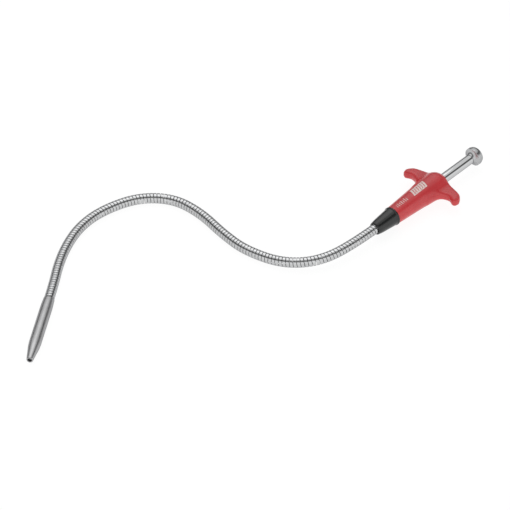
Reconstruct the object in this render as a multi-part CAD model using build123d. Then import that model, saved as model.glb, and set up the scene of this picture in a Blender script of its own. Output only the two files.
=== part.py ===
from build123d import *
import math
import os

# A flexible claw tool: a T-handle with a sprung thumb plunger works four wire claws through
# a bendable steel shaft. Millimetres, +Z up. The tool lies on the plane Z = 0 and the origin
# is under the middle of the handle, whose axis runs along X with the thumb button towards +X.
# Places along the handle are "stations", counted from the front end of the black ferrule.
# Places along the nozzle are counted from the nozzle's rear end.

# ---------------------------------------------------------------- driving dimensions
HANDLE_LENGTH = 130.2        # ferrule front to button face
HALF = HANDLE_LENGTH / 2
HUB_RADIUS = 11.0            # fattest part of the hub, which rests on the plane
AXIS_HEIGHT = HUB_RADIUS

FERRULE_END = 22.9
SPIGOT_FRONT = 11.0
SPIGOT_RADIUS = 6.2
BARREL_FRONT_RADIUS = 8.05
HUB_STATION = 76.0
HUB_END = 85.4
HUB_END_RADIUS = 5.2
CHAMBER_FRONT = 34.0
CHAMBER_RADIUS = 6.3

WING_SPAN = 60.4
WING_FRONT = 57.5            # where the wings leave the barrel
WING_REAR = 83.2
WING_THICKNESS = 8.0
WING_EDGE_RADIUS = 3.3

HOSE_RADIUS = 4.4
WINDING_INNER_RADIUS = 3.3
CORE_OUTER_RADIUS = 3.25
CORE_INNER_RADIUS = 2.5
CABLE_RADIUS = 1.0
SOCKET_FRONT = 6.0
SOCKET_RADIUS = 5.2
SOCKET_FLANGE = 2.0
HOSE_INSERTION = 16.15       # how far the shaft goes into the ferrule and socket

ROD_RADIUS = 4.3
ROD_BORE_RADIUS = 1.9
ROD_FRONT = 70.0
BUTTON_STATION = 121.0
BUTTON_RADIUS = 8.1
BUTTON_STUD_FRONT = 112.0
TRAVEL = 30.0                # of the thumb plunger, the claw holder and the claws
COLLAR_FRONT = 76.3
COLLAR_REAR = 78.8
COLLAR_RADIUS = 6.0
PLUG_FRONT = 79.0
RUNNING_FIT = 0.05           # radial clearance of a sliding pair
SLIP = 0.1                   # radial clearance of the cable in the sleeves that slide over it

SEAT_THICKNESS = 1.0
SPRING_WIRE_RADIUS = 0.5
SPRING_MEAN_RADIUS = 5.2
SPRING_TURNS = 8
SPRING_END_GAP = 0.1

NOZZLE_LENGTH = 78.5
NOZZLE_RADIUS = 5.2
NOZZLE_REAR_RADIUS = 4.75
NOZZLE_SOCKET = 12.0         # how far the shaft goes into the nozzle
NOZZLE_CHAMBER_RADIUS = 4.2
NOSE_START = NOZZLE_LENGTH - 21.0
NOSE_END_RADIUS = 2.9
MOUTH_RADIUS = 1.65
MOUTH_START = NOZZLE_LENGTH - 4.0
HOLDER_REAR = 14.0
HOLDER_FRONT = NOZZLE_LENGTH - TRAVEL - 0.2    # so that the claws spread outside the mouth
HOLDER_BORE_END = HOLDER_FRONT - 1.5
CABLE_END = HOLDER_BORE_END - 0.3
HOLDER_RADIUS = 1.55
CLAW_COUNT = 4
CLAW_WIRE_RADIUS = 0.35
CLAW_RING_RADIUS = 1.2
CLAW_HOOK_RADIUS = 0.56
CLAW_HOOK_START = MOUTH_START
CLAW_TIP = NOZZLE_LENGTH - 0.7
CLAW_HOOK_BEND = 6.0

# The shaft's route: straight out of the handle's nose, down to the plane, and along it in
# an S to the nozzle. Each point turns the route a little; the tube rounds every corner.
ROUTE = [
    (-48.95, 0.0, 11.0),
    (-84.95, 0.0, 11.0),
    (-122.45, 7.5, 8.6),
    (-144.45, 31.0, 5.6),
    (-152.45, 66.5, 4.6),
    (-149.45, 95.0, 4.5),
    (-141.95, 127.0, 4.5),
    (-143.45, 157.0, 4.5),
    (-162.95, 180.5, 4.5),
    (-195.45, 191.5, 4.5),
    (-222.45, 191.5, 4.5),
    (-247.95, 183.5, 4.5),
    (-271.45, 171.5, 4.7),
    (-293.45, 156.8, 5.2),
    (-319.55, 141.4, 5.2),
]

# ---------------------------------------------------------------- frames and helpers
points = [Vector(*p) for p in ROUTE]
nozzle_direction = (points[-1] - points[-2]).normalized()
nozzle_rear = points[-1] - nozzle_direction * NOZZLE_SOCKET
ON_HANDLE = Pos(-HALF, 0, AXIS_HEIGHT)
ON_NOZZLE = Plane(
    origin=nozzle_rear,
    x_dir=nozzle_direction,
    z_dir=Vector(0, 0, 1),
).location


def outline(*edges):
    """A flat face bounded by the given edges."""
    return make_face(Curve() + list(edges))


def turned(stations_and_radii):
    """A solid of revolution about X from (station, radius) corners."""
    return revolve(make_face(Polyline(*stations_and_radii, close=True)), Axis.X)


def ring(front, rear, outer, inner):
    """A plain turned ring."""
    return turned([(front, inner), (rear, inner), (rear, outer), (front, outer)])


def corner_radii(corners):
    """The largest roomy arc at each inner corner: 0.45 of the shorter run."""
    radii = []
    for before, here, after in zip(corners, corners[1:], corners[2:]):
        run_in = here - before
        run_out = after - here
        half_turn = math.radians(run_in.get_angle(run_out)) / 2
        radii.append(0.45 * min(run_in.length, run_out.length) / math.tan(half_turn))
    return radii


def tube_along(path, outer, inner=0.0):
    """A tube of constant section along a path of runs and arcs."""
    start = Plane(origin=path @ 0, z_dir=path % 0)
    section = Circle(outer)
    if inner:
        section -= Circle(inner)
    return sweep(start * section, path=path)


# ---------------------------------------------------------------- handle
def make_handle_body():
    flank = Spline(
        (FERRULE_END, BARREL_FRONT_RADIUS),
        (42.0, 9.15),
        (60.5, 10.35),
        (HUB_STATION, HUB_RADIUS),
        tangents=[(1, 0.03), (1, 0)],
    )
    dome = TangentArc((HUB_STATION, HUB_RADIUS), (HUB_END, HUB_END_RADIUS), tangent=(1, 0))
    closing = Polyline(
        (HUB_END, HUB_END_RADIUS),
        (HUB_END, 0),
        (SPIGOT_FRONT, 0),
        (SPIGOT_FRONT, SPIGOT_RADIUS),
        (FERRULE_END, SPIGOT_RADIUS),
        (FERRULE_END, BARREL_FRONT_RADIUS),
    )
    barrel = revolve(outline(flank, dome, closing), Axis.X)
    half_span = WING_SPAN / 2
    rear_edge = Spline(
        (WING_REAR, 0),
        (82.7, 11.0),
        (79.6, 24.8),
        (72.8, half_span),
        tangents=[(0, 1), (-1, 0)],
    )
    tip = TangentArc((72.8, half_span), (68.0, 26.4), tangent=(-1, 0))
    front_edge = Spline(
        (68.0, 26.4),
        (70.0, 20.4),
        (66.2, 12.3),
        (WING_FRONT, 8.7),
        tangents=[(0.15, -1), (-1, -0.2)],
    )
    inside = Polyline((WING_FRONT, 8.7), (WING_FRONT, 0), (WING_REAR, 0))
    wing = extrude(outline(rear_edge, tip, front_edge, inside), WING_THICKNESS / 2, both=True)
    rims = wing.edges().filter_by(lambda edge: abs(edge.center().Z) > WING_THICKNESS / 2 - 0.01)
    rims = rims.filter_by(lambda edge: edge.center().Y > 1 and edge.center().X > WING_FRONT + 1)
    wing = fillet(rims, WING_EDGE_RADIUS)
    body = barrel + wing + mirror(wing, about=Plane.XZ)
    body -= turned([
        (SPIGOT_FRONT - 1, 0),
        (CHAMBER_FRONT, 0),
        (CHAMBER_FRONT, SOCKET_RADIUS),
        (SPIGOT_FRONT - 1, SOCKET_RADIUS),
    ])
    body -= turned([
        (CHAMBER_FRONT, 0),
        (HUB_END + 1, 0),
        (HUB_END + 1, CHAMBER_RADIUS),
        (CHAMBER_FRONT, CHAMBER_RADIUS),
    ])
    return body


def make_rear_guide_plug():
    bore = ROD_RADIUS + RUNNING_FIT
    return turned([
        (PLUG_FRONT, bore),
        (PLUG_FRONT, CHAMBER_RADIUS),
        (HUB_END - 0.65, CHAMBER_RADIUS),
        (HUB_END, HUB_END_RADIUS),
        (HUB_END, bore + 0.4),
        (HUB_END - 0.4, bore),
    ])


def make_nose_ferrule():
    throat = HOSE_RADIUS + SLIP
    return turned([
        (0, throat + 0.3),
        (0, 5.2),
        (0.5, 5.65),
        (4.2, 6.35),
        (10.2, 6.95),
        (21.2, 8.0),
        (21.6, 8.45),
        (FERRULE_END - 0.3, 8.5),
        (FERRULE_END, 8.2),
        (FERRULE_END, SPIGOT_RADIUS),
        (SPIGOT_FRONT, SPIGOT_RADIUS),
        (SPIGOT_FRONT, SOCKET_RADIUS),
        (SOCKET_FRONT, SOCKET_RADIUS),
        (SOCKET_FRONT, throat),
        (0.3, throat),
    ])


def make_hose_socket():
    flange_rear = CHAMBER_FRONT + SOCKET_FLANGE
    cable_bore = CORE_INNER_RADIUS
    return turned([
        (SOCKET_FRONT, HOSE_RADIUS),
        (SOCKET_FRONT, SOCKET_RADIUS),
        (CHAMBER_FRONT, SOCKET_RADIUS),
        (CHAMBER_FRONT, CHAMBER_RADIUS - SLIP),
        (flange_rear, CHAMBER_RADIUS - SLIP),
        (flange_rear, cable_bore),
        (HOSE_INSERTION, cable_bore),
        (HOSE_INSERTION, HOSE_RADIUS),
    ])


SEAT_FRONT = CHAMBER_FRONT + SOCKET_FLANGE
SEAT_REAR = SEAT_FRONT + SEAT_THICKNESS


def make_return_spring():
    start = SEAT_REAR + SPRING_END_GAP + SPRING_WIRE_RADIUS
    end = COLLAR_FRONT - SPRING_END_GAP - SPRING_WIRE_RADIUS
    height = end - start
    coil = Helix(pitch=height / SPRING_TURNS, height=height, radius=SPRING_MEAN_RADIUS)
    wire = sweep(Plane(origin=coil @ 0, z_dir=coil % 0) * Circle(SPRING_WIRE_RADIUS), path=coil)
    return Pos(start, 0, 0) * Rot(0, 90, 0) * wire


# ---------------------------------------------------------------- plunger
def make_plunger_rod():
    return ring(ROD_FRONT, BUTTON_STATION, ROD_RADIUS, ROD_BORE_RADIUS)


def make_thumb_button():
    return turned([
        (BUTTON_STUD_FRONT, 0),
        (BUTTON_STUD_FRONT, ROD_BORE_RADIUS),
        (BUTTON_STATION, ROD_BORE_RADIUS),
        (BUTTON_STATION, ROD_RADIUS),
        (BUTTON_STATION + 1.6, 5.1),
        (BUTTON_STATION + 2.7, 6.6),
        (BUTTON_STATION + 3.1, BUTTON_RADIUS - 0.3),
        (BUTTON_STATION + 3.4, BUTTON_RADIUS),
        (HANDLE_LENGTH - 3.2, BUTTON_RADIUS),
        (HANDLE_LENGTH - 1.6, BUTTON_RADIUS - 0.55),
        (HANDLE_LENGTH - 0.4, BUTTON_RADIUS - 1.3),
        (HANDLE_LENGTH, BUTTON_RADIUS - 2.2),
        (HANDLE_LENGTH, 0),
    ])


# ---------------------------------------------------------------- shaft
def hose_path():
    radii = corner_radii(points)
    return FilletPolyline(*points, radius=radii)


def cable_path():
    """The cable keeps to the shaft's line and runs on into the rod and into the nozzle."""
    cable_start = Vector(COLLAR_REAR - HALF, 0, AXIS_HEIGHT)
    cable_stop = nozzle_rear + nozzle_direction * CABLE_END
    radii = corner_radii(points)
    return FilletPolyline(cable_start, *points[1:-1], cable_stop, radius=radii)


# ---------------------------------------------------------------- nozzle and claws
def make_nozzle():
    return turned([
        (0, HOSE_RADIUS),
        (0, NOZZLE_REAR_RADIUS - 0.15),
        (0.3, NOZZLE_REAR_RADIUS),
        (NOZZLE_SOCKET, NOZZLE_RADIUS),
        (NOSE_START, NOZZLE_RADIUS),
        (NOSE_START + 9.0, 4.35),
        (NOZZLE_LENGTH - 0.6, NOSE_END_RADIUS),
        (NOZZLE_LENGTH, NOSE_END_RADIUS - 0.5),
        (NOZZLE_LENGTH, MOUTH_RADIUS + 0.3),
        (NOZZLE_LENGTH - 0.8, MOUTH_RADIUS),
        (MOUTH_START, MOUTH_RADIUS),
        (NOSE_START - 2, NOZZLE_CHAMBER_RADIUS),
        (NOZZLE_SOCKET, NOZZLE_CHAMBER_RADIUS),
        (NOZZLE_SOCKET, HOSE_RADIUS),
    ])


def make_claw_holder():
    bore = CABLE_RADIUS + SLIP
    return turned([
        (HOLDER_REAR, bore),
        (HOLDER_REAR, HOLDER_RADIUS),
        (HOLDER_FRONT, HOLDER_RADIUS),
        (HOLDER_FRONT, 0),
        (HOLDER_BORE_END, 0),
        (HOLDER_BORE_END, bore),
    ])


def make_claw():
    """A spring wire along +X at a small distance from the axis, its end hooked inwards."""
    line = FilletPolyline(
        (HOLDER_FRONT, 0, CLAW_RING_RADIUS),
        (CLAW_HOOK_START, 0, CLAW_RING_RADIUS),
        (CLAW_TIP, 0, CLAW_HOOK_RADIUS),
        radius=CLAW_HOOK_BEND,
    )
    return tube_along(line, CLAW_WIRE_RADIUS)


# ---------------------------------------------------------------- assembly
nodes = {
    "handle_body": ON_HANDLE * make_handle_body(),
    "rear_guide_plug": ON_HANDLE * make_rear_guide_plug(),
    "nose_ferrule": ON_HANDLE * make_nose_ferrule(),
    "hose_socket": ON_HANDLE * make_hose_socket(),
    "spring_seat": ON_HANDLE * ring(SEAT_FRONT, SEAT_REAR, COLLAR_RADIUS, CORE_INNER_RADIUS),
    "return_spring": ON_HANDLE * make_return_spring(),
    "plunger_rod": ON_HANDLE * make_plunger_rod(),
    "thumb_button": ON_HANDLE * make_thumb_button(),
    "rod_collar": ON_HANDLE * ring(COLLAR_FRONT, COLLAR_REAR, COLLAR_RADIUS, ROD_RADIUS),
    "cable_clamp": ON_HANDLE * ring(
        ROD_FRONT, COLLAR_FRONT, ROD_BORE_RADIUS, CABLE_RADIUS + SLIP
    ),
    "hose_winding": tube_along(hose_path(), HOSE_RADIUS, WINDING_INNER_RADIUS),
    "hose_core": tube_along(hose_path(), CORE_OUTER_RADIUS, CORE_INNER_RADIUS),
    "push_cable": tube_along(cable_path(), CABLE_RADIUS),
    "nozzle": ON_NOZZLE * make_nozzle(),
    "claw_holder": ON_NOZZLE * make_claw_holder(),
}
for number in range(CLAW_COUNT):
    turn = 45 + number * 360 / CLAW_COUNT
    nodes[f"claw_{number + 1}"] = ON_NOZZLE * Rot(turn, 0, 0) * make_claw()

os.makedirs("parts", exist_ok=True)
for name, solid in nodes.items():
    export_step(solid, f"parts/{name}.step")

# ---------------------------------------------------------------- what was made
line = hose_path()
tube_area = math.pi * (HOSE_RADIUS**2 - WINDING_INNER_RADIUS**2)
print("shaft length", round(line.length, 1), "mm,",
      "corner radii", [round(radius) for radius in corner_radii(points)])
print("winding volume", round(nodes["hose_winding"].volume),
      "against section times length", round(tube_area * line.length))
print("nozzle rear", nozzle_rear, "direction", nozzle_direction)
print("nodes", len(nodes))
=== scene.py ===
# %% [markdown]
# # A flexible claw tool, dressed for its portrait
# The measured model of the tool comes in as a fixed frame: a red T-handle, a sprung thumb
# plunger, a bendable steel shaft and a steel nozzle that hides four wire claws. Each cell
# below makes or finishes one of its pieces. All lengths are in metres, +Z is up, and the
# handle's axis runs along X with the thumb button towards +X.

# %% Load the frame
import math
import bmesh
import bpy
import numpy as np
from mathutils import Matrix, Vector


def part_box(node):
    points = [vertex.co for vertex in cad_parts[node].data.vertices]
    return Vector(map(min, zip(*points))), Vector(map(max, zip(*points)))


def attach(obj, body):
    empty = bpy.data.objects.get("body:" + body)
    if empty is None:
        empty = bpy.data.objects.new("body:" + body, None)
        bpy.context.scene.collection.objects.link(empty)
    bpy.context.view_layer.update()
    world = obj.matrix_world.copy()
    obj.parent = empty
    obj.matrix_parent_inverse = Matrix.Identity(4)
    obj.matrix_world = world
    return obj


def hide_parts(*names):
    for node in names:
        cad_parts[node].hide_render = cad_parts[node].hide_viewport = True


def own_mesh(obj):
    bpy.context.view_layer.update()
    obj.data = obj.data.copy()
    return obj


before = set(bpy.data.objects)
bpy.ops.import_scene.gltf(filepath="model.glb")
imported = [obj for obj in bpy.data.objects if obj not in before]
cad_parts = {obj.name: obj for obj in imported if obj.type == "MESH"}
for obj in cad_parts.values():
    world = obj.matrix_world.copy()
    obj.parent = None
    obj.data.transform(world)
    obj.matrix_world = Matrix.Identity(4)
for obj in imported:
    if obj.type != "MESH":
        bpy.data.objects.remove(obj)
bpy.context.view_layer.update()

# %% [markdown]
# ## Where things are
# The ferrule's box gives the handle's front end and the height of its axis. Along the handle
# a place is a "station", in millimetres from that front end, which is how a maker would
# read it off a drawing.

# %% Read the main places off the frame
MM = 0.001
ferrule_low, ferrule_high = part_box("nose_ferrule")
FRONT_X = ferrule_low[0]
AXIS_Z = (ferrule_low[2] + ferrule_high[2]) / 2


def on_handle(points):
    """Rows of (station, y, z) in millimetres about the handle's axis, as places in metres."""
    return np.asarray(points, float) * MM + np.array([FRONT_X, 0, AXIS_Z])


print("handle front at x =", round(FRONT_X, 5), "and axis at z =", round(AXIS_Z, 5))

# %% [markdown]
# ## Camera
# A tool catalogue looks down at such a tool from well above, through a long lens, so that
# the long shaft keeps its proportions. An orthographic camera would come close, but it has
# no perspective at all. This one stands fourteen metres away with a 1200 mm lens, and it is
# turned so that the handle points away to the upper right.

# %% Place the camera
VIEW_AZIMUTH = math.radians(-48.1)
VIEW_ELEVATION = math.radians(41.0)
VIEW_WIDTH = 0.428
LENS = 1200.0
SENSOR = 36.0
CAMERA_REACH = 60.0
look_at = Vector((-0.14755, 0.0611, 0.0))
towards_camera = Vector((
    math.sin(VIEW_AZIMUTH) * math.cos(VIEW_ELEVATION),
    -math.cos(VIEW_AZIMUTH) * math.cos(VIEW_ELEVATION),
    math.sin(VIEW_ELEVATION),
))
camera_data = bpy.data.cameras.new("catalogue_camera")
camera_data.lens = LENS
camera_data.sensor_width = SENSOR
camera_data.clip_end = CAMERA_REACH
camera = bpy.data.objects.new("catalogue_camera", camera_data)
bpy.context.scene.collection.objects.link(camera)
camera.location = look_at + towards_camera * (VIEW_WIDTH * LENS / SENSOR)
camera.rotation_euler = (-towards_camera).to_track_quat("-Z", "Y").to_euler()
bpy.context.scene.camera = camera
print("camera at", [round(value, 3) for value in camera.location])

# %% [markdown]
# ## The shaft's line
# The shaft is stiff enough to stay in the bend that a hand gives it, so its line is one
# smooth curve: straight out of the handle's nose, down to the bench, and along it in an S.
# It could be drawn point by point, but a NURBS spline needs only a few control points and is
# smooth by nature. Every wire of the shaft is then built on points read back from it.

# %% Draw the route as a spline and read it back
ROUTE = [
    (-0.04895, 0.0000, 0.0110),
    (-0.08495, 0.0000, 0.0110),
    (-0.12245, 0.0075, 0.0086),
    (-0.14445, 0.0310, 0.0056),
    (-0.15245, 0.0665, 0.0046),
    (-0.14945, 0.0950, 0.0045),
    (-0.14195, 0.1270, 0.0045),
    (-0.14345, 0.1570, 0.0045),
    (-0.16295, 0.1805, 0.0045),
    (-0.19545, 0.1915, 0.0045),
    (-0.22245, 0.1915, 0.0045),
    (-0.24795, 0.1835, 0.0045),
    (-0.27145, 0.1715, 0.0047),
    (-0.29345, 0.1568, 0.0052),
    (-0.31955, 0.1414, 0.0052),
]


def read_spline(control_points, samples_per_span=48):
    """Places along the smooth line that the control points shape."""
    curve = bpy.data.curves.new("shaft_line", "CURVE")
    curve.dimensions = "3D"
    curve.resolution_u = samples_per_span
    spline = curve.splines.new("NURBS")
    spline.points.add(len(control_points) - 1)
    for point, place in zip(spline.points, control_points):
        point.co = (*place, 1.0)
    spline.order_u = 3
    spline.use_endpoint_u = True
    holder = bpy.data.objects.new("shaft_line", curve)
    bpy.context.scene.collection.objects.link(holder)
    bpy.context.view_layer.update()
    line = bpy.data.meshes.new_from_object(holder)
    places = np.array([vertex.co for vertex in line.vertices], float)
    bpy.data.objects.remove(holder)
    bpy.data.curves.remove(curve)
    bpy.data.meshes.remove(line)
    return places


SAME_PLACE = 1e-7
shaft_line = read_spline(ROUTE)
steps = np.linalg.norm(np.diff(shaft_line, axis=0), axis=1)
shaft_line = shaft_line[np.concatenate([[True], steps > SAME_PLACE])]
steps = np.linalg.norm(np.diff(shaft_line, axis=0), axis=1)
shaft_run = np.concatenate([[0], np.cumsum(steps)])
SHAFT_LENGTH = shaft_run[-1]
print("shaft line:", len(shaft_line), "points,", round(SHAFT_LENGTH, 4), "m long")

# %% [markdown]
# ## Frames along the shaft
# To wind a wire round a curved line, each place on the line needs two directions square to
# it. They could be worked out afresh at each place, but then they flip where the bend
# changes sides. Carrying the first pair along without twisting it, step by step, keeps the
# winding's pitch even through the bends.

# %% Carry a pair of cross directions along the line
tangents = np.gradient(shaft_line, shaft_run, axis=0)
tangents /= np.linalg.norm(tangents, axis=1)[:, None]
sideways = np.zeros_like(tangents)
sideways[0] = np.array([0.0, 1.0, 0.0])
for index in range(1, len(tangents)):
    carried = sideways[index - 1] - tangents[index] * (sideways[index - 1] @ tangents[index])
    sideways[index] = carried / np.linalg.norm(carried)
upwards = np.cross(tangents, sideways)


def along_shaft(runs, table):
    """Values of a table of vectors at the given distances along the shaft."""
    return np.stack([np.interp(runs, shaft_run, table[:, axis]) for axis in range(3)], axis=1)


print("largest step of the line:", round(float(np.diff(shaft_run).max()) / MM, 2), "mm")

# %% [markdown]
# ## Making meshes
# A few small helpers serve every piece. The first turns vertices and faces into an object
# with smooth shading and crisp edges, and keeps each vertex's own place on the piece, so
# that a finish can follow the shape. The second merges doubled vertices.

# %% Make and weld a mesh
SHARP_ANGLE = math.radians(38)


def make_piece(name, vertices, faces, material, places):
    """A mesh object in the row frame. places holds each vertex's own coordinates for shading."""
    mesh = bpy.data.meshes.new(name)
    mesh.from_pydata(np.asarray(vertices).tolist(), [], faces)
    mesh.validate()
    mesh.shade_smooth()
    mesh.set_sharp_from_angle(angle=SHARP_ANGLE)
    attribute = mesh.attributes.new("maker_place", "FLOAT_VECTOR", "POINT")
    attribute.data.foreach_set("vector", np.asarray(places, np.float32).ravel())
    mesh.materials.append(material)
    piece = bpy.data.objects.new(name, mesh)
    bpy.context.scene.collection.objects.link(piece)
    return piece


def weld(mesh, distance=1e-7):
    """Merges the doubled vertices on the axis and points every face outwards."""
    working = bmesh.new()
    working.from_mesh(mesh)
    bmesh.ops.remove_doubles(working, verts=working.verts, dist=distance)
    bmesh.ops.dissolve_degenerate(working, dist=distance / 10, edges=working.edges)
    bmesh.ops.recalc_face_normals(working, faces=working.faces)
    working.to_mesh(mesh)
    working.free()


print("edges sharper than", round(math.degrees(SHARP_ANGLE)), "degrees stay crisp")

# %% [markdown]
# ## Outlines, turned pieces and wires
# Most of the tool was made on a lathe or drawn as wire. A turned piece could be a cylinder
# with bevels, but a profile spun about its axis keeps every step and radius in one list.
# Its corners are rounded first, since no real edge is perfectly sharp and the rounded
# corner is what catches the light. A wire is a row of rings of vertices joined by quads.

# %% Helpers for outlines, turned pieces and wires
def round_corners(profile, radius, closed=True, steps=5):
    """The profile with each corner replaced by a small arc-like curve."""
    corners = [np.array(corner, float) for corner in profile]
    rounded = []
    for index, corner in enumerate(corners):
        if not closed and index in (0, len(corners) - 1):
            rounded.append(corner)
            continue
        before = corners[index - 1] - corner
        after = corners[(index + 1) % len(corners)] - corner
        reach = min(radius, 0.45 * np.linalg.norm(before), 0.45 * np.linalg.norm(after))
        start = corner + before / np.linalg.norm(before) * reach
        end = corner + after / np.linalg.norm(after) * reach
        for share in np.linspace(0, 1, steps + 1):
            rounded.append((1 - share) ** 2 * start + 2 * share * (1 - share) * corner
                           + share ** 2 * end)
    return rounded


def smooth_through(points, count=12):
    """Points on a smooth curve through the given points, count to each stretch."""
    knots = [np.array(point, float) for point in points]
    knots = [2 * knots[0] - knots[1], *knots, 2 * knots[-1] - knots[-2]]
    curve = []
    for a, b, c, d in zip(knots, knots[1:], knots[2:], knots[3:]):
        for t in np.arange(count) / count:
            curve.append(0.5 * (2 * b + (c - a) * t + (2 * a - 5 * b + 4 * c - d) * t ** 2
                                + (3 * b - a - 3 * c + d) * t ** 3))
    curve.append(knots[-2])
    return curve


def turn(name, profile, material, to_row, segments=96):
    """A turned piece: a closed (station, radius) profile in millimetres spun about the axis."""
    profile = np.array(profile, float)
    angles = np.arange(segments) * 2 * math.pi / segments
    count = len(profile)
    places = np.zeros((segments, count, 3))
    places[:, :, 0] = profile[None, :, 0]
    places[:, :, 1] = profile[None, :, 1] * np.cos(angles)[:, None]
    places[:, :, 2] = profile[None, :, 1] * np.sin(angles)[:, None]
    faces = []
    for ring in range(segments):
        nearby = (ring + 1) % segments
        for point in range(count):
            following = (point + 1) % count
            faces.append((ring * count + point, nearby * count + point,
                          nearby * count + following, ring * count + following))
    flat = places.reshape(-1, 3)
    piece = make_piece(name, to_row(flat), faces, material, flat)
    weld(piece.data)
    return piece


def wire_faces(steps, sides):
    """Quads along a wire of steps + 1 rings of vertices, and a face on each end."""
    faces = []
    for step in range(steps):
        for point in range(sides):
            following = (point + 1) % sides
            faces.append((step * sides + point, step * sides + following,
                          (step + 1) * sides + following, (step + 1) * sides + point))
    faces.append(tuple(range(sides))[::-1])
    faces.append(tuple(steps * sides + point for point in range(sides)))
    return faces


rounded_square = round_corners([(0, 0), (1, 0), (1, 1), (0, 1)], 0.1)
print("a square with rounded corners has", len(rounded_square), "points")

# %% [markdown]
# ## Materials
# Each finish is a small node network on the Principled shader. Image textures would need
# unwrapping and would blur up close, while noise nodes are sharp at any distance. A helper
# makes the shader and offers short functions for noise, colour mixing and bump, so that
# each finish can be read as one paragraph.

# %% Material helper
class Finish:
    """A procedural material on one Principled shader."""

    def __init__(self, name, **constants):
        self.material = bpy.data.materials.new(name)
        self.material.use_nodes = True
        self.tree = self.material.node_tree
        self.shader = self.tree.nodes["Principled BSDF"]
        for socket, value in constants.items():
            self.shader.inputs[socket.replace("_", " ")].default_value = value

    def node(self, kind, **settings):
        made = self.tree.nodes.new(kind)
        for key, value in settings.items():
            setattr(made, key, value)
        return made

    def link(self, output, target):
        self.tree.links.new(output, target)

    def place(self, stretch=(1, 1, 1), own=False):
        """Coordinates in the row frame in metres, or the piece's own in millimetres."""
        if own:
            source = self.node("ShaderNodeAttribute", attribute_name="maker_place")
            output = source.outputs["Vector"]
        else:
            output = self.node("ShaderNodeTexCoord").outputs["Object"]
        mapping = self.node("ShaderNodeMapping")
        mapping.inputs["Scale"].default_value = stretch
        self.link(output, mapping.inputs["Vector"])
        return mapping.outputs["Vector"]

    def noise(self, place, scale, detail=3.0, roughness=0.5):
        made = self.node("ShaderNodeTexNoise")
        made.inputs["Scale"].default_value = scale
        made.inputs["Detail"].default_value = detail
        made.inputs["Roughness"].default_value = roughness
        self.link(place, made.inputs["Vector"])
        return made.outputs["Fac"]

    def ramp(self, value, low, high, from_min=0.3, from_max=0.7):
        """A number spread from low to high as value goes from from_min to from_max."""
        made = self.node("ShaderNodeMapRange")
        for socket, number in (("From Min", from_min), ("From Max", from_max),
                               ("To Min", low), ("To Max", high)):
            made.inputs[socket].default_value = number
        self.link(value, made.inputs["Value"])
        return made.outputs["Result"]

    def mix(self, share, first, second):
        """A colour between first and second."""
        made = self.node("ShaderNodeMix", data_type="RGBA")
        for socket, colour in ((6, first), (7, second)):
            if isinstance(colour, tuple):
                made.inputs[socket].default_value = (*colour, 1.0)
            else:
                self.link(colour, made.inputs[socket])
        self.link(share, made.inputs[0])
        return made.outputs[2]

    def bump(self, height, strength, distance):
        made = self.node("ShaderNodeBump")
        made.inputs["Strength"].default_value = strength
        made.inputs["Distance"].default_value = distance
        self.link(height, made.inputs["Height"])
        return made.outputs["Normal"]

    def set(self, socket, output):
        self.link(output, self.shader.inputs[socket])


print("a finish can use:", [name for name in vars(Finish) if name[0] != "_"])

# %% [markdown]
# ## Wound steel
# The shaft is two wires wound together. A crowned flat wire makes the ribs, and a round
# wire lies in the gap between its turns, a little lower. Drawn wire is bright, with fine
# draw lines along its length. The grooves get a painted shade: their base colour is darker
# than the crowns'. The finish reads how far out each place on the wire is, which is
# steadier than a search for creases.

# %% Finishes of the wound wires
EDGE_TINT = (0.55, 0.55, 0.56, 1.0)
GROOVE_TO_CROWN = (3.75, 4.3)


def make_wound_steel(name, crown, groove_shade_colour, roughness):
    finish = Finish(name, Metallic=1.0, Specular_Tint=EDGE_TINT)
    own = finish.place(own=True)
    split = finish.node("ShaderNodeSeparateXYZ")
    finish.link(own, split.inputs[0])
    # Painted shade: the base colour goes from the crown colour towards a darker groove colour as a
    # place on the wire lies lower, and a cloud varies the crowns' tone at random.
    unshaded_share = finish.ramp(split.outputs["Z"], 0.0, 1.0, *GROOVE_TO_CROWN)
    cloud = finish.noise(finish.place(), 260.0)
    groove_shade_and_tone = finish.node("ShaderNodeMath", operation="MULTIPLY")
    finish.link(unshaded_share, groove_shade_and_tone.inputs[0])
    finish.link(finish.ramp(cloud, 0.8, 1.0), groove_shade_and_tone.inputs[1])
    finish.set("Base Color", finish.mix(groove_shade_and_tone.outputs[0], groove_shade_colour, crown))
    lines = finish.noise(finish.place((2.0, 0.04, 9.0), own=True), 2.2, 4.0)
    finish.set("Roughness", finish.ramp(lines, roughness - 0.05, roughness + 0.09))
    finish.set("Normal", finish.bump(lines, 0.25, 0.00002))
    return finish.material


# The second colour of each wire is the painted shade of its grooves.
wound_steel = make_wound_steel("wound_steel", (0.57, 0.575, 0.58), (0.22, 0.22, 0.23), 0.18)
core_steel = make_wound_steel("core_steel", (0.46, 0.465, 0.47), (0.34, 0.34, 0.35), 0.26)
print("made", wound_steel.name, "and", core_steel.name)

# %% [markdown]
# ## Winding the shaft
# A tube with a bump texture would show no ribs at its edges, and a row of rings would not be
# a winding. So each wire is its small section carried round the line on a helix: every step
# goes a little forward along the line and a little round it. This gives real ribs with real
# gaps, which bunch up on the inside of a bend and open on the outside.

# %% Wind the two wires
PITCH = 3.0
STEPS_PER_TURN = 40
WINDING_SECTION = round_corners(
    [(-0.75, 3.45), (-1.30, 4.05), (-1.28, 4.32), (-0.70, 4.395), (0.70, 4.395),
     (1.28, 4.32), (1.30, 4.05), (0.75, 3.45)],
    0.2,
    steps=2,
)
CORE_WIRE_RADIUS = 0.40
CORE_WIRE_CENTRE = 3.75
CORE_SIDES = 12
CORE_SECTION = [
    (PITCH / 2 + CORE_WIRE_RADIUS * math.cos(angle),
     CORE_WIRE_CENTRE + CORE_WIRE_RADIUS * math.sin(angle))
    for angle in np.arange(CORE_SIDES) * 2 * math.pi / CORE_SIDES
]
WIRE_END_GAP = 0.0011


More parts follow.
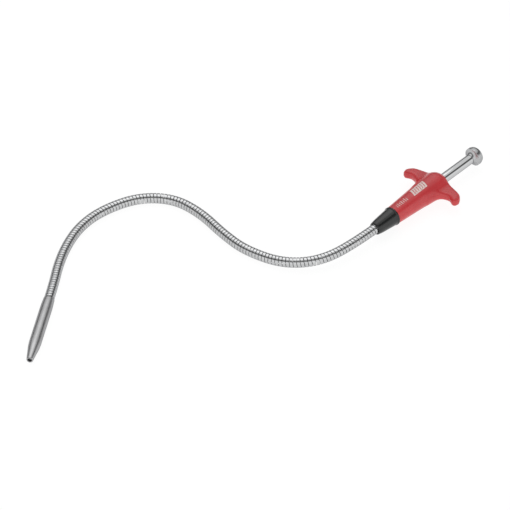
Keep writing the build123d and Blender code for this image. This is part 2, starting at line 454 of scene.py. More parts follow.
def wind(name, section, material, start, end):
    """A wire of the given (offset along, radius) section wound round the shaft's line."""
    section = np.array(section, float)
    turns = (end - start) / (PITCH * MM)
    count = int(turns * STEPS_PER_TURN)
    runs = start + np.arange(count + 1) * PITCH * MM / STEPS_PER_TURN
    angles = np.arange(count + 1) * 2 * math.pi / STEPS_PER_TURN
    vertices = []
    places = []
    for offset, radius in section:
        here = np.clip(runs + offset * MM, 0, SHAFT_LENGTH)
        side = along_shaft(here, sideways)
        up = along_shaft(here, upwards)
        out = side * np.cos(angles)[:, None] + up * np.sin(angles)[:, None]
        vertices.append(along_shaft(here, shaft_line) + out * radius * MM)
        places.append(np.stack([np.full(count + 1, offset), angles * radius,
                                np.full(count + 1, radius)], axis=1))
    vertices = np.stack(vertices, axis=1).reshape(-1, 3)
    places = np.stack(places, axis=1).reshape(-1, 3)
    return make_piece(name, vertices, wire_faces(count, len(section)), material, places)


winding = wind("shaft_winding", WINDING_SECTION, wound_steel,
               WIRE_END_GAP, SHAFT_LENGTH - WIRE_END_GAP)
core = wind("shaft_core_wire", CORE_SECTION, core_steel, 0.0, SHAFT_LENGTH - 2 * WIRE_END_GAP)
for wire, node in ((winding, "hose_winding"), (core, "hose_core")):
    weld(wire.data)
    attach(wire, "handle")
    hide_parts(node)
print("wound", round(SHAFT_LENGTH / MM / PITCH), "turns,", len(winding.data.polygons), "faces")

# %% [markdown]
# ## The nozzle
# The nozzle is one turned and swaged tube: its rear end is squeezed down on the shaft, its
# middle is straight, and its nose tapers to a small mouth for the claws. The turning tool
# leaves very fine rings. They are too fine to model, so the satin has a faint grain round
# the axis, made by stretching the noise.

# %% Satin steel
def make_satin_steel():
    finish = Finish("satin_steel", Metallic=1.0, Anisotropic=0.35,
                    Specular_Tint=(0.52, 0.52, 0.53, 1.0))
    rings = finish.noise(finish.place((9.0, 0.12, 0.12), own=True), 3.0, 5.0, 0.6)
    cloud = finish.noise(finish.place(), 90.0, 3.0)
    finish.set("Base Color", finish.mix(finish.ramp(cloud, 0.0, 1.0),
                                        (0.41, 0.41, 0.415), (0.47, 0.47, 0.475)))
    finish.set("Roughness", finish.ramp(rings, 0.27, 0.40))
    finish.set("Normal", finish.bump(rings, 0.35, 0.00002))
    return finish.material


satin_steel = make_satin_steel()
print("made", satin_steel.name)

# %% [markdown]
# ## The nozzle's shape
# The last stretch of the shaft's line gives the nozzle's direction, so the two can't come
# apart. Its outside is drawn as smooth curves through a few measured radii, and its inside
# as the stepped bore that the claws slide in.

# %% The nozzle
nozzle_way = np.array(ROUTE[-1]) - np.array(ROUTE[-2])
nozzle_way /= np.linalg.norm(nozzle_way)
NOZZLE_SOCKET = 12.0
nozzle_rear = np.array(ROUTE[-1]) - nozzle_way * NOZZLE_SOCKET * MM
nozzle_side = np.array([-nozzle_way[1], nozzle_way[0], 0.0])
nozzle_axes = np.array([nozzle_way, nozzle_side, [0.0, 0.0, 1.0]])


def on_nozzle(points):
    """Rows of (distance from the nozzle's rear, side, up) in millimetres, as places."""
    return nozzle_rear + np.asarray(points, float) * MM @ nozzle_axes


NOZZLE_LENGTH = 78.5
NOZZLE_RADIUS = 5.2
NOZZLE_BORE = 4.2
SOCKET_BORE = 4.43
SOCKET_END = 12.2
MOUTH_RADIUS = 1.65
NOSE_END = (77.8, 2.87)
swaged_end = smooth_through([(2.5, 4.83), (7.0, 5.05), (12.0, 5.19)], 5)
nose_cone = smooth_through([(56.5, NOZZLE_RADIUS), (62.5, 4.82), (69.5, 3.9), NOSE_END], 8)
nose_lip = [NOSE_END, (NOZZLE_LENGTH, 2.55), (NOZZLE_LENGTH, 1.9), (77.7, MOUTH_RADIUS)]
nozzle_profile = [
    (0.0, SOCKET_BORE),
    (0.0, 4.55),
    (0.35, 4.75),
    *swaged_end,
    (16.0, NOZZLE_RADIUS),
    *nose_cone,
    *round_corners(nose_lip, 0.5, closed=False),
    (74.5, MOUTH_RADIUS),
    (55.5, NOZZLE_BORE),
    (SOCKET_END, NOZZLE_BORE),
    (SOCKET_END, SOCKET_BORE),
]
nozzle = turn("nozzle_tube", nozzle_profile, satin_steel, on_nozzle, segments=128)
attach(nozzle, "handle")
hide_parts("nozzle")
nozzle_tip = on_nozzle([[NOZZLE_LENGTH, 0, 0]])[0]
print("nozzle from", np.round(nozzle_rear, 4), "to", np.round(nozzle_tip, 4))

# The shaft is a bendable cord of one fixed length, and its path is the line that was
# read from the spline, so its length can be measured from it.

print("declared the shaft,", round(SHAFT_LENGTH, 4), "m")

# %% [markdown]
# ## Red moulded plastic
# The handle is injection moulded. Its red is a little milky, because the pigment sits in a
# clear plastic, and the surface has the fine unevenness that the mould leaves, with a soft
# shine. One flat colour would look like paint, so its tone changes faintly over the length,
# and two finer noises vary the shine and the surface.

# %% The red plastic
def make_red_plastic():
    finish = Finish("red_plastic", IOR=1.5)
    cloud = finish.noise(finish.place(), 55.0, 3.0)
    finish.set("Base Color", finish.mix(finish.ramp(cloud, 0.0, 1.0),
                                        (0.54, 0.037, 0.044), (0.62, 0.049, 0.056)))
    skin = finish.noise(finish.place(), 1400.0, 2.0)
    finish.set("Roughness", finish.ramp(finish.noise(finish.place(), 180.0), 0.25, 0.34))
    finish.set("Normal", finish.bump(skin, 0.18, 0.00006))
    return finish.material


red_plastic = make_red_plastic()
print("made", red_plastic.name)

# %% [markdown]
# ## The handle's shape
# The handle is a round tapering barrel with two flat finger wings, all blended together
# with soft fillets. Joining two meshes and bevelling the seam would leave a hard line, and
# drawing it face by face is slow. A distance field is easier: a number at each place in
# space that is negative inside and positive outside. Fields of simple shapes are blended
# with a soft minimum, which makes the fillet. First come the outlines of those shapes.

# %% Outlines of the barrel, the bore and the wings
FERRULE_END = 22.9
SPIGOT_FRONT = 11.0
SPIGOT_RADIUS = 6.2
HUB_END = 85.4
SOCKET_RADIUS = 5.2
CHAMBER_FRONT = 34.0
CHAMBER_RADIUS = 6.3
WING_HALF_THICKNESS = 4.0
WING_EDGE = 3.5
FILLET = 3.4
DEEP = 40.0
HUB_STATION = 76.0
HUB_RADIUS = 11.0
DOME_CENTRE_RADIUS = 0.5
DOME_SWEEP = (0.12, math.radians(63.5))
BORE_EDGE = 0.25
flank = smooth_through([(FERRULE_END, 8.05), (42.0, 9.15), (60.5, 10.35),
                        (HUB_STATION, HUB_RADIUS)])
dome = [
    (HUB_STATION + (HUB_RADIUS - DOME_CENTRE_RADIUS) * math.sin(angle),
     DOME_CENTRE_RADIUS + (HUB_RADIUS - DOME_CENTRE_RADIUS) * math.cos(angle))
    for angle in np.linspace(*DOME_SWEEP, 12)
]
BARREL = [(SPIGOT_FRONT, -DEEP), (SPIGOT_FRONT, SPIGOT_RADIUS), (FERRULE_END, SPIGOT_RADIUS),
          *flank, *dome, (HUB_END, -DEEP)]
BORE = [(-DEEP, -DEEP), (-DEEP, SOCKET_RADIUS), (CHAMBER_FRONT, SOCKET_RADIUS),
        (CHAMBER_FRONT, CHAMBER_RADIUS), (HUB_END + DEEP, CHAMBER_RADIUS), (HUB_END + DEEP, -DEEP)]
WING_TIP = (72.8, 30.2)
WING_FRONT, WING_REAR = 57.5, 83.2
wing_rear = smooth_through([(WING_REAR, 0.0), (82.7, 11.0), (79.7, 23.8), (76.3, 28.2),
                            WING_TIP], 8)
wing_front = smooth_through([WING_TIP, (69.5, 29.2), (68.1, 26.4), (70.0, 20.4), (66.2, 12.3),
                             (WING_FRONT, 8.7)], 8)
WING = [*wing_rear, *wing_front[1:], (WING_FRONT, -DEEP), (WING_REAR, -DEEP)]
print("barrel outline:", len(BARREL), "points, wing outline:", len(WING), "points")

# %% [markdown]
# ## The handle as one field
# Each outline gives a field of its own: the barrel and the bore as seen from the side, at a
# distance from the axis, and the wings as seen from above, as thick as they are. The body
# is the soft minimum of barrel and wings, and the bore is cut from it in the same way.

# %% The handle's field
def outline_distance(x, y, corners):
    """Signed distance from points to a closed outline, negative inside."""
    nearest = np.full(np.shape(x), np.inf)
    inside = np.zeros(np.shape(x), bool)
    for (ax, ay), (bx, by) in zip(corners, [*corners[1:], corners[0]]):
        ex, ey = bx - ax, by - ay
        if ex == 0 and ey == 0:
            continue
        share = np.clip(((x - ax) * ex + (y - ay) * ey) / (ex * ex + ey * ey), 0, 1)
        nearest = np.minimum(nearest, (x - ax - share * ex) ** 2 + (y - ay - share * ey) ** 2)
        if ay != by:
            inside ^= ((ay > y) != (by > y)) & (x < (bx - ax) * (y - ay) / (by - ay) + ax)
    return np.where(inside, -1, 1) * np.sqrt(nearest)


def soft_minimum(first, second, reach):
    """The smaller of two fields, rounded over the given reach where they are close."""
    overlap = np.maximum(reach - np.abs(first - second), 0) / reach
    return np.minimum(first, second) - overlap ** 3 * reach / 6


def handle_field(station, y, z):
    """Signed distance to the handle's surface, in millimetres."""
    around = np.hypot(y, z)
    barrel = outline_distance(station, around, BARREL)
    plan = outline_distance(station, np.abs(y), WING) + WING_EDGE
    height = np.abs(z) - WING_HALF_THICKNESS + WING_EDGE
    wing = (np.minimum(np.maximum(plan, height), 0)
            + np.hypot(np.maximum(plan, 0), np.maximum(height, 0)) - WING_EDGE)
    body = soft_minimum(barrel, wing, FILLET * 2)
    bore = outline_distance(station, around, BORE)
    return -soft_minimum(-body, bore, BORE_EDGE)


print("handle field at the axis of the hub:", round(float(handle_field(80.0, 0.0, 9.0)), 2), "mm")

# %% [markdown]
# ## From field to mesh
# Marching cubes would skin the field with many thin triangles, which shade unevenly. Here
# the field is sampled on a fine grid. Each small cell that the surface passes through gets
# one vertex, and each grid edge that crosses the surface gets one quad between the four
# cells around it. A few steps along the field's slope then settle every vertex on the
# surface, which leaves an even, smooth skin of quads.

# %% Helpers that skin a field
CELL = 0.5
GENTLEST_SLOPE = 0.2


def skin_field(field, low, high, cell):
    """Vertices and quads of the surface where the field is zero."""
    axes = [np.arange(a, b + cell, cell) for a, b in zip(low, high)]
    grid = np.meshgrid(*axes, indexing="ij")
    values = field(*grid)
    inside = values < 0
    corner_sum = sum(inside[i:i - 1 or None, j:j - 1 or None, k:k - 1 or None].astype(int)
                     for i in (0, 1) for j in (0, 1) for k in (0, 1))
    crossed = (corner_sum > 0) & (corner_sum < 8)
    number = np.full(crossed.shape, -1)
    cells = np.argwhere(crossed)
    number[crossed] = np.arange(len(cells))
    vertices = np.array(low) + (cells + 0.5) * cell
    faces = []
    for axis in range(3):
        other, third = (axis + 1) % 3, (axis + 2) % 3
        first = np.take(inside, range(inside.shape[axis] - 1), axis)
        second = np.take(inside, range(1, inside.shape[axis]), axis)
        edges = np.argwhere(first != second)
        edges = edges[(edges[:, other] > 0) & (edges[:, third] > 0)]
        edges = edges[(edges[:, other] < crossed.shape[other])
                      & (edges[:, third] < crossed.shape[third])]
        quad = []
        for step_other, step_third in ((0, 0), (1, 0), (1, 1), (0, 1)):
            around = edges.copy()
            around[:, other] -= step_other
            around[:, third] -= step_third
            quad.append(number[tuple(around.T)])
        quad = np.stack(quad, axis=1)
        flipped = first[tuple(edges.T)]
        quad[~flipped] = quad[~flipped][:, ::-1]
        faces.append(quad)
    return vertices, np.concatenate(faces)


def settle(vertices, field, rounds, step=0.05):
    """Moves the vertices along the field's slope until they lie on its zero surface."""
    for _ in range(rounds):
        value = field(*vertices.T)
        slope = np.stack([
            field(*(vertices + step * unit).T) - field(*(vertices - step * unit).T)
            for unit in np.eye(3)
        ], axis=1) / (2 * step)
        steepness = np.maximum((slope ** 2).sum(axis=1), GENTLEST_SLOPE)
        vertices = vertices - slope * (np.clip(value, -CELL, CELL) / steepness)[:, None]
    return vertices


def relax(vertices, faces, rounds, share=0.5):
    """Evens out the quads: each vertex moves part of the way to its neighbours' middle."""
    edges = np.concatenate([faces[:, [i, (i + 1) % 4]] for i in range(4)])
    for _ in range(rounds):
        total = np.zeros_like(vertices)
        count = np.zeros(len(vertices))
        for a, b in ((0, 1), (1, 0)):
            np.add.at(total, edges[:, a], vertices[edges[:, b]])
            np.add.at(count, edges[:, a], 1)
        vertices = vertices + share * (total / np.maximum(count, 1)[:, None] - vertices)
    return vertices


print("cells are", CELL, "mm wide")

# %% Skin the handle
GRID_HALF_WIDTH = 32.0
GRID_HALF_HEIGHT = 12.0
handle_low = (SPIGOT_FRONT - 2 * CELL, -GRID_HALF_WIDTH, -GRID_HALF_HEIGHT)
handle_high = (HUB_END + 2 * CELL, GRID_HALF_WIDTH, GRID_HALF_HEIGHT)
skin, quads = skin_field(handle_field, handle_low, handle_high, CELL)
skin = settle(relax(skin, quads, 3), handle_field, 4)
skin = settle(relax(skin, quads, 1, 0.4), handle_field, 3)
handle = make_piece("t_handle", on_handle(skin), quads.tolist(), red_plastic, skin)
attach(handle, "handle")
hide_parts("handle_body")
print("handle skin:", len(skin), "vertices")

# %% [markdown]
# ## The rear guide plug
# A plug of the same red plastic closes the rear of the hub and guides the rod. It could be
# part of the handle's mesh, but on the real tool it is a turned piece of its own, pressed
# in last. It carries on the hub's round end, and a hair-thin ring shows the joint.

# %% The plug
PLUG_FRONT = 79.0
PLUG_BORE = 4.35
PLUG_RADIUS = 6.28
plug_profile = round_corners(
    [(PLUG_FRONT, PLUG_BORE), (PLUG_FRONT, PLUG_RADIUS), (84.45, PLUG_RADIUS), (85.1, 5.62),
     (HUB_END, 5.0), (HUB_END, 4.75), (85.0, PLUG_BORE)],
    0.2,
    steps=3,
)
plug = turn("guide_plug", plug_profile, red_plastic, on_handle)
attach(plug, "handle")
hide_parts("rear_guide_plug")
print("plug made,", len(plug.data.polygons), "faces")

# %% [markdown]
# ## The nose ferrule
# A black sleeve covers the joint of handle and shaft. It is a long cone, a little hollow in
# its side, with a narrow raised lip against the red barrel. Black moulded plastic shows
# mostly the light that it reflects, so its roughness matters more than its colour.

# %% Black plastic
def make_black_plastic():
    finish = Finish("black_plastic", IOR=1.5)
    cloud = finish.noise(finish.place(), 120.0, 3.0)
    finish.set("Base Color", finish.mix(finish.ramp(cloud, 0.0, 1.0),
                                        (0.008, 0.009, 0.009), (0.016, 0.017, 0.017)))
    finish.set("Roughness", finish.ramp(finish.noise(finish.place(), 300.0), 0.17, 0.24))
    finish.set("Normal", finish.bump(finish.noise(finish.place(), 1800.0), 0.15, 0.00005))
    return finish.material


black_plastic = make_black_plastic()
print("made", black_plastic.name)

# %% The ferrule
SHAFT_HOLE = 4.5
SOCKET_HOLE = 5.25
SPIGOT_HOLE = 6.25
sleeve_cone = smooth_through([(0.9, 5.7), (4.2, 6.33), (10.2, 6.95), (21.1, 7.97)], 6)
sleeve_lip = [(21.6, 8.45), (22.6, 8.48), (FERRULE_END, 8.2), (FERRULE_END, SPIGOT_HOLE)]
ferrule_profile = [
    (0.0, 4.75),
    (0.0, 5.15),
    (0.25, 5.5),
    *sleeve_cone,
    (21.3, 8.08),
    *round_corners(sleeve_lip, 0.3, closed=False),
    (SPIGOT_FRONT, SPIGOT_HOLE),
    (SPIGOT_FRONT, SOCKET_HOLE),
    (6.0, SOCKET_HOLE),
    (6.0, SHAFT_HOLE),
    (0.35, SHAFT_HOLE),
]
ferrule = turn("black_ferrule", ferrule_profile, black_plastic, on_handle)
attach(ferrule, "handle")
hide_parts("nose_ferrule")
print("ferrule made,", len(ferrule.data.polygons), "faces")

# %% [markdown]
# ## Chrome: rod and thumb button
# The rod and its button are polished and plated. Chrome is nearly a mirror, so what one
# sees is the studio: a bright band from the light above, a dark line where the room shows,
# and the pale bench below. A painted gradient would slide wrongly when the view changes, so
# the shader is a plain smooth metal. The button flares out of the rod like a trumpet, has a
# thick rim, and is gently domed where the thumb presses. Turning left it duller.

# %% Chrome
def make_chrome(name, light, dark, roughness):
    finish = Finish(name, Metallic=1.0, Specular_Tint=EDGE_TINT)
    haze = finish.noise(finish.place(), 400.0, 4.0)
    finish.set("Base Color", finish.mix(finish.ramp(haze, 0.0, 1.0), dark, light))
    finish.set("Roughness", finish.ramp(haze, roughness, roughness + 0.06))
    return finish.material


chrome = make_chrome("bright_chrome", (0.57, 0.575, 0.58), (0.54, 0.545, 0.55), 0.05)
turned_chrome = make_chrome("turned_chrome", (0.48, 0.485, 0.49), (0.42, 0.425, 0.43), 0.24)
print("made", chrome.name, "and", turned_chrome.name)

# %% The rod
ROD_RADIUS = 4.3
ROD_BORE = 1.9
ROD_FRONT = 70.0
BUTTON_FRONT = 121.0
rod_profile = round_corners(
    [(ROD_FRONT, ROD_BORE), (ROD_FRONT, ROD_RADIUS), (BUTTON_FRONT, ROD_RADIUS),
     (BUTTON_FRONT, ROD_BORE)],
    0.1,
    steps=3,
)
rod = turn("plunger_tube", rod_profile, chrome, on_handle)
print("rod from station", ROD_FRONT, "to", BUTTON_FRONT)

# %% The thumb button
STUD_FRONT = 112.0
FLARE_END = (124.15, 7.7)
RIM_RADIUS = 8.1
RIM_REAR = (127.0, RIM_RADIUS)
BUTTON_REAR = 130.2
button_flare = smooth_through([(BUTTON_FRONT, ROD_RADIUS), (122.6, 5.08), (123.7, 6.55),
                               FLARE_END], 6)
button_dome = smooth_through([RIM_REAR, (128.55, 7.57), (129.75, 6.8), (BUTTON_REAR, 5.7)], 6)
button_profile = [
    (STUD_FRONT, 0.0),
    (STUD_FRONT, ROD_BORE),
    (BUTTON_FRONT, ROD_BORE),
    *button_flare,
    *round_corners([FLARE_END, (124.35, RIM_RADIUS), RIM_REAR], 0.3, closed=False),
    *button_dome[1:],
    (BUTTON_REAR, 0.0),
]
button = turn("chrome_button", button_profile, turned_chrome, on_handle)
for piece, node in ((rod, "plunger_rod"), (button, "thumb_button")):
    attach(piece, "plunger")
    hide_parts(node)
print("button", 2 * RIM_RADIUS, "mm across, made and fitted with the rod")

# %% [markdown]
# ## Finishes of the hidden pieces
# The pieces inside the handle keep the shapes of the frame. They still get real finishes,
# because they show when the tool is opened up: turned brass, drawn spring wire, turned
# steel and stranded cable.

# %% Finishes for the carried-over pieces
def make_metal(name, light, dark, roughness, grain, stretch=(1, 1, 1)):
    finish = Finish(name, Metallic=1.0)
    lines = finish.noise(finish.place(stretch), grain, 4.0)
    finish.set("Base Color", finish.mix(finish.ramp(lines, 0.0, 1.0), dark, light))
    finish.set("Roughness", finish.ramp(lines, roughness - 0.06, roughness + 0.08))
    finish.set("Normal", finish.bump(lines, 0.2, 0.00003))
    return finish.material


RINGS = (6, 1, 1)
STRANDS = (1, 2, 2)
brass = make_metal("turned_brass", (0.78, 0.57, 0.25), (0.62, 0.43, 0.17), 0.28, 900.0, RINGS)
spring_steel = make_metal("spring_steel", (0.60, 0.61, 0.64), (0.40, 0.41, 0.43), 0.24, 2500.0)
turned_steel = make_metal("turned_steel", (0.64, 0.64, 0.65), (0.50, 0.50, 0.51), 0.3, 1200.0,
                          RINGS)
cable_steel = make_metal("cable_steel", (0.55, 0.55, 0.56), (0.18, 0.18, 0.19), 0.34, 1800.0,
                         STRANDS)
CARRIED = {
    "hose_socket": brass,
    "spring_seat": turned_steel,
    "rod_collar": turned_steel,
    "cable_clamp": turned_steel,
    "claw_holder": turned_steel,
    "push_cable": cable_steel,
}
for node, material in CARRIED.items():
    node_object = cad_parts[node]
    node_object.data.materials.clear()
    node_object.data.materials.append(material)
print("finished", len(CARRIED), "carried-over pieces")

# %% [markdown]
# ## The return spring
# The spring is a coil between a fixed washer and the rod's collar. A screw modifier could
# make it, but its end turns have to lie closer than the rest, so the helix is worked out
# here. When the thumb pushes, the real coil shortens; this piece keeps its resting length
# and is fixed to the handle.

# %% The return spring
SPRING_FRONT = 37.1
SPRING_REAR = 76.2
SPRING_TURNS = 8
SPRING_WIRE = 0.5
SPRING_RADIUS = 5.2
SPRING_STEPS = 48
SPRING_SIDES = 10
SPRING_CLOSING = 0.35


def make_coil(name, material):
    """A round wire on a helix along the handle's axis, its end turns closed up."""
    count = SPRING_TURNS * SPRING_STEPS
    shares = np.linspace(0, 1, count + 1)
    angles = shares * SPRING_TURNS * 2 * math.pi
    eased = shares - np.sin(2 * math.pi * shares) / (2 * math.pi) * SPRING_CLOSING
    free_length = SPRING_REAR - SPRING_FRONT - 2 * SPRING_WIRE
    stations = SPRING_FRONT + SPRING_WIRE + eased * free_length
    out = np.stack([np.zeros_like(angles), np.cos(angles), np.sin(angles)], axis=1)
    line = SPRING_RADIUS * out
    line[:, 0] = stations
    ahead = np.gradient(line, axis=0)
    ahead /= np.linalg.norm(ahead, axis=1)[:, None]
    across = np.cross(ahead, out)
    rings = []
    for angle in np.arange(SPRING_SIDES) * 2 * math.pi / SPRING_SIDES:
        rings.append(line + SPRING_WIRE * (out * math.cos(angle) + across * math.sin(angle)))
    vertices = np.stack(rings, axis=1).reshape(-1, 3)
    faces = wire_faces(count, SPRING_SIDES)
    return make_piece(name, on_handle(vertices), faces, material, vertices)


coil = make_coil("return_coil", spring_steel)
weld(coil.data)
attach(coil, "handle")
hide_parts("return_spring")
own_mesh(coil)
print("spring made,", SPRING_TURNS, "turns")

# %% [markdown]
# ## The claws
# Four spring wires sit in the claw holder. Each ends in a small inward hook with a rounded
# tip. They lie closed inside the nozzle and spread as the plunger pushes them out. One wire
# is drawn along the nozzle's axis, and the four are the same wire turned a quarter each, so
# that each can ride on its own moving body.

# %% The four claws
CLAW_WIRE = 0.35
CLAW_RING = 1.2
CLAW_ROOT = 48.3
CLAW_SIDES = 12
CLAW_TIP_TAPER = (0.95, 0.75, 0.35)
FIRST_CLAW_TURN = 45
CLAW_LINE = smooth_through([(CLAW_ROOT, CLAW_RING), (60.5, CLAW_RING), (72.5, CLAW_RING),
                            (74.9, 1.18), (76.5, 0.90), (77.7, 0.58)], 6)


def make_claw(name, turn_angle, material):
    """A wire along the nozzle's axis on one side of it, with a rounded tip."""
    line = np.array([(station, 0.0, out) for station, out in CLAW_LINE])
    ahead = np.gradient(line, axis=0)
    ahead /= np.linalg.norm(ahead, axis=1)[:, None]
    side = np.array([0.0, 1.0, 0.0])
    sizes = np.full(len(line), CLAW_WIRE)
    sizes[-len(CLAW_TIP_TAPER):] = CLAW_WIRE * np.array(CLAW_TIP_TAPER)
    other = np.cross(ahead, side)
    rings = []
    for angle in np.arange(CLAW_SIDES) * 2 * math.pi / CLAW_SIDES:
        rings.append(line + sizes[:, None] * (side * math.cos(angle) + other * math.sin(angle)))
    vertices = np.stack(rings, axis=1).reshape(-1, 3)
    spin = np.array([[1, 0, 0], [0, math.cos(turn_angle), -math.sin(turn_angle)],
                     [0, math.sin(turn_angle), math.cos(turn_angle)]])
    vertices = vertices @ spin.T
    faces = wire_faces(len(line) - 1, CLAW_SIDES)
    return make_piece(name, on_nozzle(vertices), faces, material, vertices)


for number in range(1, 5):
    claw_turn = math.radians(FIRST_CLAW_TURN + 90 * (number - 1))
    claw = make_claw(f"claw_wire_{number}", claw_turn, spring_steel)
    weld(claw.data)
    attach(claw, f"claw_{number}")
    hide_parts(f"claw_{number}")
print("four claws made")

# %% [markdown]
# ## The printed badge
# The top of the barrel carries a worn white print. Here it is a plain pattern with no
# meaning: a slanted panel of bars between two rims, and a row of short ticks in front of
# it. It could be a mask in the red plastic, but real films with a thickness also show in
# the exported mesh. Each follows the barrel, a few hundredths of a millimetre proud of it.

# %% White ink and films
def make_print_white():
    finish = Finish("print_white", IOR=1.45)
    wear = finish.noise(finish.place(), 900.0, 4.0)
    finish.set("Base Color", finish.mix(finish.ramp(wear, 0.0, 1.0, 0.35, 0.5),
                                        (0.66, 0.36, 0.34), (0.84, 0.72, 0.68)))
    finish.set("Roughness", finish.ramp(wear, 0.4, 0.55))
    return finish.material


def barrel_radius(station):
    """The barrel's radius in millimetres at a station."""
    stations, radii = zip(*flank)
    return np.interp(station, stations, radii)


def film_patch(corners, columns=6, rows=4, lift=0.035, sink=0.05):
    """A closed thin film between four (station, degrees from the top) corners."""
    a, b, c, d = (np.array(corner, float) for corner in corners)
    sheet = [
        (1 - v) * ((1 - u) * a + u * b) + v * ((1 - u) * d + u * c)
        for v in np.linspace(0, 1, rows + 1) for u in np.linspace(0, 1, columns + 1)
    ]
    vertices = []
    for height in (lift, -sink):
        for station, degrees in sheet:
            radius = barrel_radius(station) + height
            angle = math.radians(degrees)
            vertices.append((station, radius * math.sin(angle), radius * math.cos(angle)))
    width = columns + 1
    layer = len(sheet)
    faces = []
    for row in range(rows):
        for column in range(columns):
            start = row * width + column
            quad = (start, start + 1, start + width + 1, start + width)
            faces.append(quad)
            faces.append(tuple(layer + corner for corner in reversed(quad)))
    rim = ([column for column in range(width)]
           + [row * width + columns for row in range(1, rows + 1)]
           + [rows * width + column for column in range(columns - 1, -1, -1)]
           + [row * width for row in range(rows - 1, 0, -1)])
    for here, there in zip(rim, [*rim[1:], rim[0]]):
        faces.append((there, here, layer + here, layer + there))
    return vertices, faces


print_white = make_print_white()
print("barrel radius under the print:", round(float(barrel_radius(55.0)), 2), "mm")

# %% [markdown]
# ## Laying out the print
# Places on the print are a station along the handle and an angle from its top, so that the
# pattern bends round the barrel like a transfer. Loops space the bars and ticks evenly.

# %% The print
PANEL_FRONT, PANEL_REAR = 46.6, 64.2
PANEL_LOW, PANEL_HIGH = -21.0, 22.0
PANEL_RIM = 5.0
PANEL_SLANT = 1.6
BARS = 7
BAR_WIDTH = 1.75
TICKS = 7
TICK_FRONT = 27.0
TICK_SPACING = 2.0
TICK_WIDTH = 0.55
TICK_LOW = -17.0
TICK_HIGH = (2.0, 10.0)
bar_low, bar_high = PANEL_LOW + PANEL_RIM, PANEL_HIGH - PANEL_RIM
patches = []
for start in np.linspace(PANEL_FRONT, PANEL_REAR - PANEL_SLANT - BAR_WIDTH, BARS):
    patches.append([(start, bar_low), (start + BAR_WIDTH, bar_low),
                    (start + BAR_WIDTH + PANEL_SLANT, bar_high), (start + PANEL_SLANT, bar_high)])
for edge, slant in ((PANEL_LOW, 0.0), (bar_high, PANEL_SLANT)):
    front, rear = PANEL_FRONT + slant, PANEL_REAR - PANEL_SLANT + slant
    patches.append([(front, edge), (rear, edge),
                    (rear, edge + PANEL_RIM), (front, edge + PANEL_RIM)])
for tick in range(TICKS):
    start = TICK_FRONT + tick * TICK_SPACING
    end = start + TICK_WIDTH
    top = TICK_HIGH[tick % 2]
    patches.append([(start, TICK_LOW), (end, TICK_LOW), (end, top), (start, top)])
print_vertices = []
print_faces = []
for corners in patches:
    vertices, faces = film_patch(corners)
    shift = len(print_vertices)
    print_vertices.extend(vertices)
    print_faces.extend(tuple(shift + corner for corner in face) for face in faces)
badge = make_piece("barrel_print", on_handle(print_vertices), print_faces, print_white,
                   print_vertices)
weld(badge.data)
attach(badge, "handle")
print("print made of", len(patches), "films")

# %% [markdown]
# ## The bench
# The tool lies on a white table that is lit from below, as in a catalogue. A plain white
# floor would turn grey away from the lamp and darken under the tool. This one gives most of
# its white as its own glow and reflects little, which leaves only a faint shadow.

# %% The bench
BENCH_GLOW = 0.92
BENCH_HALF_WIDTH = 3.0


def make_bench():
    size = BENCH_HALF_WIDTH
    mesh = bpy.data.meshes.new("bench")
    mesh.from_pydata([(-size, -size, 0), (size, -size, 0), (size, size, 0), (-size, size, 0)],
                     [], [(0, 1, 2, 3)])
    bench = bpy.data.objects.new("bench", mesh)
    bpy.context.scene.collection.objects.link(bench)
    finish = Finish("bench_white", Roughness=0.9, Specular_IOR_Level=0.2)
    cloud = finish.noise(finish.place(), 1.2, 2.0)
    finish.set("Base Color", finish.mix(finish.ramp(cloud, 0.0, 1.0),
                                        (0.11, 0.11, 0.11), (0.13, 0.13, 0.13)))
    finish.shader.inputs["Emission Color"].default_value = (1.0, 1.0, 1.0, 1.0)
    finish.shader.inputs["Emission Strength"].default_value = BENCH_GLOW
    mesh.materials.append(finish.material)
    return bench


bench = make_bench()
print("bench", 2 * BENCH_HALF_WIDTH, "m wide")

# %% [markdown]
# ## The tent
# Round the bench stands a white tent. Its roof glows above and behind the tool, its walls
# are white, and between roof and walls there is one darker gap all the way round. Polished
# round pieces mirror all three, so the gap is what draws the dark line along the rod, the
# shaft and the nozzle. Real panels could do it, but a world whose glow depends only on
# direction lights every part of a long tool alike.

# %% The tent
ROOF_BACK, ROOF_SIDE, ROOF_UP = 0.51, -0.06, 0.857
away = Vector((-math.sin(VIEW_AZIMUTH), math.cos(VIEW_AZIMUTH), 0.0))
roof_way = (away * ROOF_BACK + Vector((ROOF_SIDE, 0, ROOF_UP))).normalized()
ROOF_GLOW, GAP_GLOW, WALL_GLOW = 0.95, 0.10, 1.18
ROOF_EDGE = (math.radians(38), math.radians(50))
WALL_EDGE = (math.radians(61), math.radians(84))


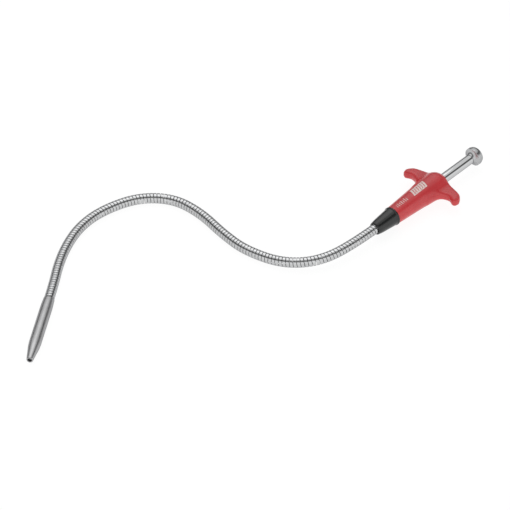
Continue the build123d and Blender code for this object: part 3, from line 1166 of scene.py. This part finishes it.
def make_tent():
    """A world whose glow depends on the angle from the middle of the tent's roof."""
    world = bpy.data.worlds.new("white_tent")
    world.use_nodes = True
    nodes, links = world.node_tree.nodes, world.node_tree.links
    direction = nodes.new("ShaderNodeTexCoord").outputs["Generated"]
    facing = nodes.new("ShaderNodeVectorMath")
    facing.operation = "DOT_PRODUCT"
    facing.inputs[1].default_value = roof_way
    links.new(direction, facing.inputs[0])
    angle = nodes.new("ShaderNodeMath")
    angle.operation = "ARCCOSINE"
    links.new(facing.outputs["Value"], angle.inputs[0])
    glows = []
    for (start, end), low, high in ((ROOF_EDGE, ROOF_GLOW - GAP_GLOW, 0.0),
                                    (WALL_EDGE, 0.0, WALL_GLOW - GAP_GLOW)):
        fade = nodes.new("ShaderNodeMapRange")
        fade.interpolation_type = "SMOOTHSTEP"
        for socket, number in (("From Min", start), ("From Max", end),
                               ("To Min", low), ("To Max", high)):
            fade.inputs[socket].default_value = number
        links.new(angle.outputs[0], fade.inputs["Value"])
        glows.append(fade.outputs["Result"])
    both = nodes.new("ShaderNodeMath")
    links.new(glows[0], both.inputs[0])
    links.new(glows[1], both.inputs[1])
    total = nodes.new("ShaderNodeMath")
    total.inputs[1].default_value = GAP_GLOW
    links.new(both.outputs[0], total.inputs[0])
    links.new(total.outputs[0], nodes["Background"].inputs["Strength"])
    nodes["Background"].inputs["Color"].default_value = (1.0, 1.0, 1.0, 1.0)
    return world


bpy.context.scene.world = make_tent()
print("roof towards", [round(value, 3) for value in roof_way])

# %% [markdown]
# ## The lamp behind the roof
# The tent alone would light the tool from everywhere and leave it flat. One large round lamp
# in the roof's direction gives the red plastic its soft highlights and the tool its faint
# shadow. A small lamp would be as bright, but its shadow would be hard.

# %% The lamp behind the roof
LAMP_WIDTH = 1.8
LAMP_POWER = 6.0
LAMP_DISTANCE = 2.4
lamp_data = bpy.data.lights.new("roof_softbox", "AREA")
lamp_data.shape = "DISK"
lamp_data.size = LAMP_WIDTH
lamp_data.energy = LAMP_POWER
lamp = bpy.data.objects.new("roof_softbox", lamp_data)
bpy.context.scene.collection.objects.link(lamp)
lamp.location = look_at + roof_way * LAMP_DISTANCE
lamp.rotation_euler = roof_way.to_track_quat("Z", "Y").to_euler()
bpy.context.scene.view_settings.view_transform = "Standard"
print("lamp", LAMP_DISTANCE, "m away,", LAMP_POWER, "W")

# %% [markdown]
